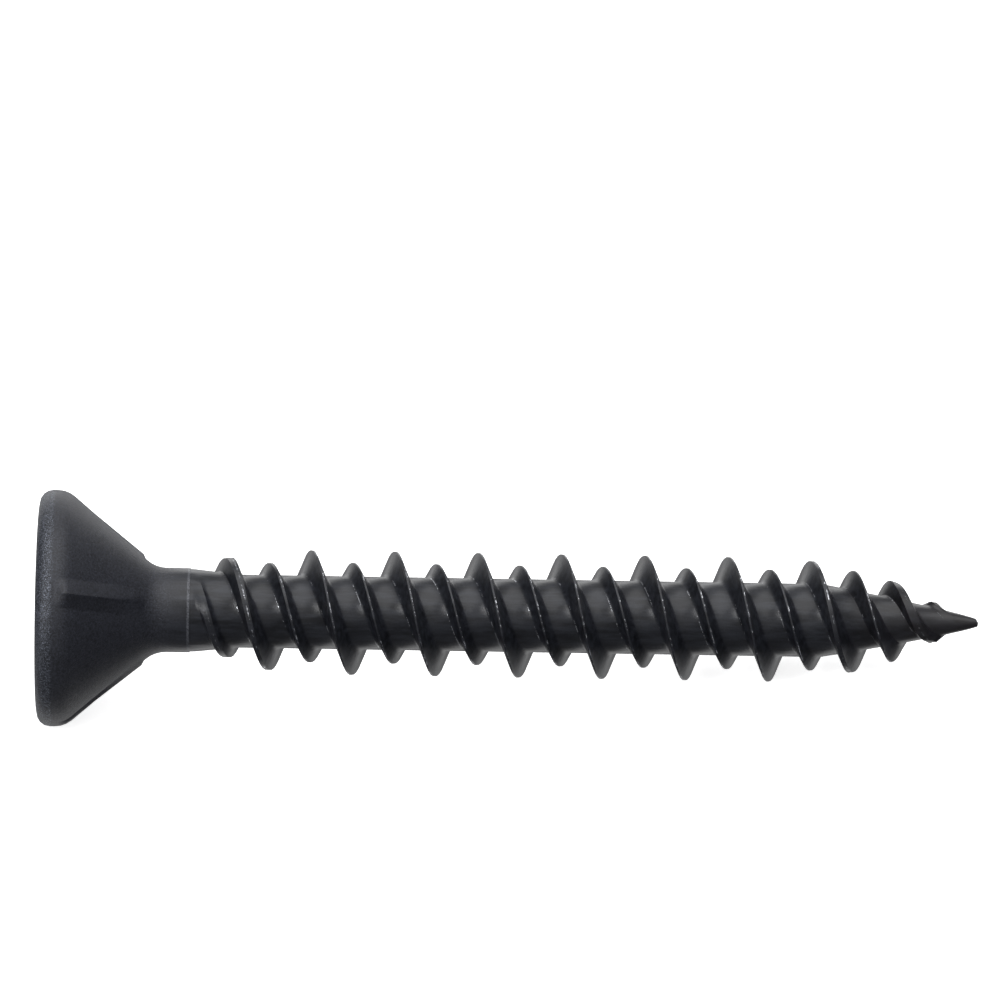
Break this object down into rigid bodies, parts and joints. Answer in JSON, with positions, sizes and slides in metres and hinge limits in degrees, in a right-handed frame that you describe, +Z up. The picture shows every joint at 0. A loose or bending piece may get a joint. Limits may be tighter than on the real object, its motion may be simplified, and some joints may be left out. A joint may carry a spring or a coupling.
{
  "type": "countersunk wood screw",
  "caption": "Flat countersunk floor screw with a square socket, a high and a low thread wound together, and a gimlet point, in black phosphated steel.",
  "frame": {"origin": "on the floor, under the middle of the screw's length and width as it lies at rest", "axes": "+X runs from the head to the point along the length, +Y across, +Z up from the floor; the screw's own axis dips 4.5 degrees from +X toward -Z at the point, because it rests on the rim of its head and on one thread crest"},
  "size_m": [0.032, 0.008, 0.008],
  "materials": {
    "steel": "matt black phosphate film on carbon steel"
  },
  "bodies": {
    "root": {"screw": "steel"}
  },
  "joints": []
}
